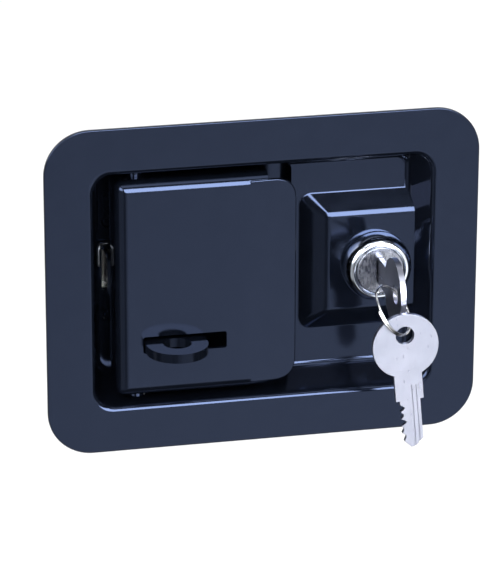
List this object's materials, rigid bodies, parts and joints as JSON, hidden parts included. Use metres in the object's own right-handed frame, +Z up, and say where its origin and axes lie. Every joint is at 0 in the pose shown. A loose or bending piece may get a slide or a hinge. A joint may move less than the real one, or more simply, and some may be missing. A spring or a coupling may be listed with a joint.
{
  "type": "flush paddle latch",
  "caption": "Flush lift-paddle latch in a pressed dish, with a spring bolt behind, a padlock eye through the paddle and a keyed cam lock.",
  "frame": {"origin": "on the flange's back face, at the middle of its top border, 48 mm above the middle of the flange", "axes": "+X to the right seen from outside, +Y into the door, +Z up"},
  "size_m": [0.1396, 0.0684, 0.108],
  "materials": {
    "black_coat": "black powder coat, smooth semi-gloss",
    "chrome": "bright chrome plate",
    "key_metal": "nickel-plated brass, lightly brushed",
    "ring_steel": "bright nickel-plated spring steel",
    "spring_steel": "bright zinc-plated spring wire",
    "zinc": "clear zinc plate",
    "brass": "plain brass"
  },
  "bodies": {
    "frame": {"pan": "black_coat", "pivot_pin": "black_coat", "pivot_pin_clip": "spring_steel", "padlock_eye": "black_coat", "eye_rivet_1": "black_coat", "eye_rivet_2": "black_coat", "bolt_housing": "zinc", "housing_rivet_1": "black_coat", "housing_rivet_2": "black_coat", "housing_rivet_3": "black_coat", "housing_rivet_4": "black_coat", "lock_body": "chrome", "lock_nut": "zinc", "paddle_spring": "spring_steel", "bolt_spring": "spring_steel"},
    "paddle": {"paddle": "black_coat"},
    "bolt": {"bolt": "zinc", "bolt_tail": "zinc", "tail_rivet_1": "zinc", "tail_rivet_2": "zinc"},
    "plug": {"lock_plug": "chrome", "wafer_1": "brass", "wafer_2": "brass", "wafer_3": "brass", "wafer_4": "brass", "wafer_5": "brass", "lock_cam": "zinc", "cam_screw": "zinc"},
    "key": {"key": "key_metal"},
    "ring": {"key_ring": "ring_steel"},
    "spare": {"spare_key": "key_metal"}
  },
  "joints": [
    {"name": "paddle_lift", "type": "hinge", "parent": "frame", "child": "paddle", "pos_m": [-0.04, 0.0065, -0.048], "axis": [0, 0, -1], "range_deg": [0, 35], "stiffness_Nm_per_rad": 0.15, "springref_deg": -20.05, "deforming": ["paddle_spring"]},
    {"name": "bolt_slide", "type": "slide", "parent": "frame", "child": "bolt", "axis": [1, 0, 0], "range_m": [0, 0.0112], "deforming": ["bolt_spring"]},
    {"name": "key_turn", "type": "hinge", "parent": "frame", "child": "plug", "pos_m": [0.0391, 0, -0.0487], "axis": [0, 1, 0], "range_deg": [0, 90]},
    {"name": "key_slide", "type": "slide", "parent": "plug", "child": "key", "axis": [0, -1, 0], "range_m": [0, 0.018]},
    {"name": "ring_swing", "type": "hinge", "parent": "key", "child": "ring", "pos_m": [0.0391, -0.0198, -0.0487], "axis": [0, 1, 0], "range_deg": [-90, 0]},
    {"name": "spare_swing", "type": "hinge", "parent": "ring", "child": "spare", "pos_m": [0.0383, -0.031, -0.0578], "axis": [0, -1, 0], "range_deg": [-15, 15]}
  ],
  "couplings": [
    {"joint": "bolt_slide", "follows": "paddle_lift", "m_per_rad": 0.01815},
    {"joint": "ring_swing", "follows": "key_turn", "ratio": -1}
  ]
}
